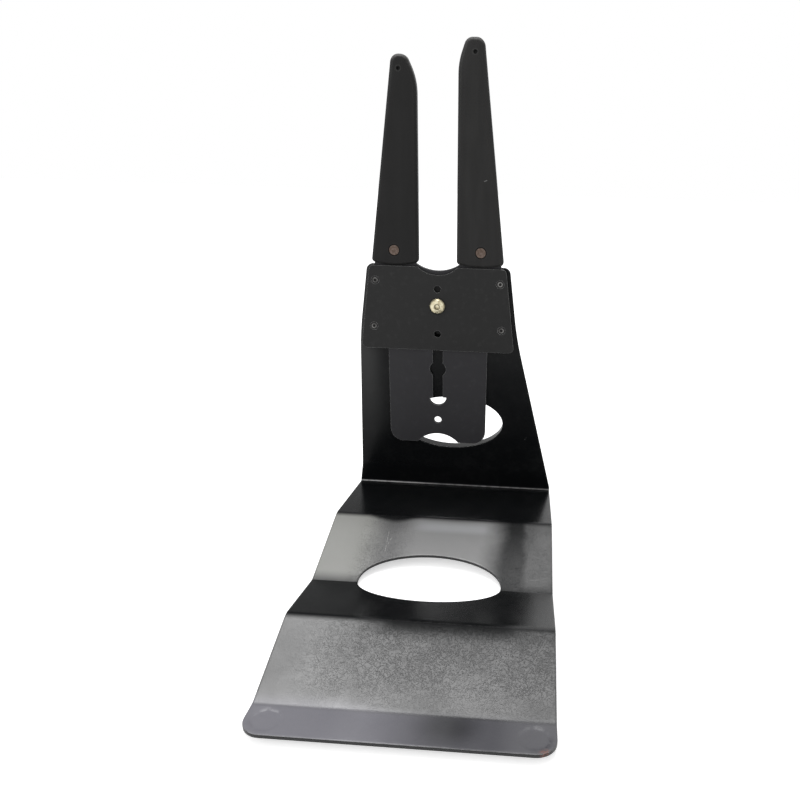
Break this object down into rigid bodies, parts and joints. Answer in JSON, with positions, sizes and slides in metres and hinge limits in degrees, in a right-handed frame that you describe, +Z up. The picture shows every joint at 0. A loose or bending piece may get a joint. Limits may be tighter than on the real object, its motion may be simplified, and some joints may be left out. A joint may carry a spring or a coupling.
{
  "type": "bike display stand",
  "caption": "Free-standing bike display stand: ribbed bent sheet foot with upright, and a height-adjustable fork with moulded fingers clamped behind a cover plate.",
  "frame": {"origin": "middle of the bounding box in plan, on the floor", "axes": "+X to the right seen from the foot side, -Y along the foot towards the viewer, +Z up; -Y is the front"},
  "size_m": [0.25, 0.4458, 0.5345],
  "materials": {
    "black_sheet": "glossy",
    "black_cover": "satin",
    "black_fork": "satin",
    "finger_plastic": "matte",
    "rivet_metal": "satin",
    "zinc_bolt": "satin",
    "zinc_plated": "satin",
    "black_screw": "satin",
    "pad_rubber": "matte"
  },
  "bodies": {
    "stand": {"stand_plate": "black_sheet", "cover_plate": "black_cover", "spacer_left": "black_cover", "spacer_right": "black_cover", "clamp_washer": "zinc_plated", "clamp_nut": "zinc_plated", "foot_pad_left": "pad_rubber", "foot_pad_right": "pad_rubber", "cover_screw_top_left": "black_screw", "cover_nut_top_left": "black_screw", "cover_screw_top_right": "black_screw", "cover_nut_top_right": "black_screw", "cover_screw_bottom_left": "black_screw", "cover_nut_bottom_left": "black_screw", "cover_screw_bottom_right": "black_screw", "cover_nut_bottom_right": "black_screw"},
    "fork": {"fork_plate": "black_fork", "finger_left": "finger_plastic", "finger_right": "finger_plastic", "finger_rivet_left": "rivet_metal", "finger_rivet_right": "rivet_metal"},
    "clamp": {"clamp_bolt": "zinc_bolt"}
  },
  "joints": [
    {"name": "fork_slide", "type": "slide", "parent": "stand", "child": "fork", "axis": [0, 0, 1], "range_m": [0, 0.1243]},
    {"name": "clamp_turn", "type": "hinge", "parent": "stand", "child": "clamp", "pos_m": [-0.0218, 0.20934, 0.2462], "axis": [0, -1, 0], "range_deg": [0, 360]}
  ]
}
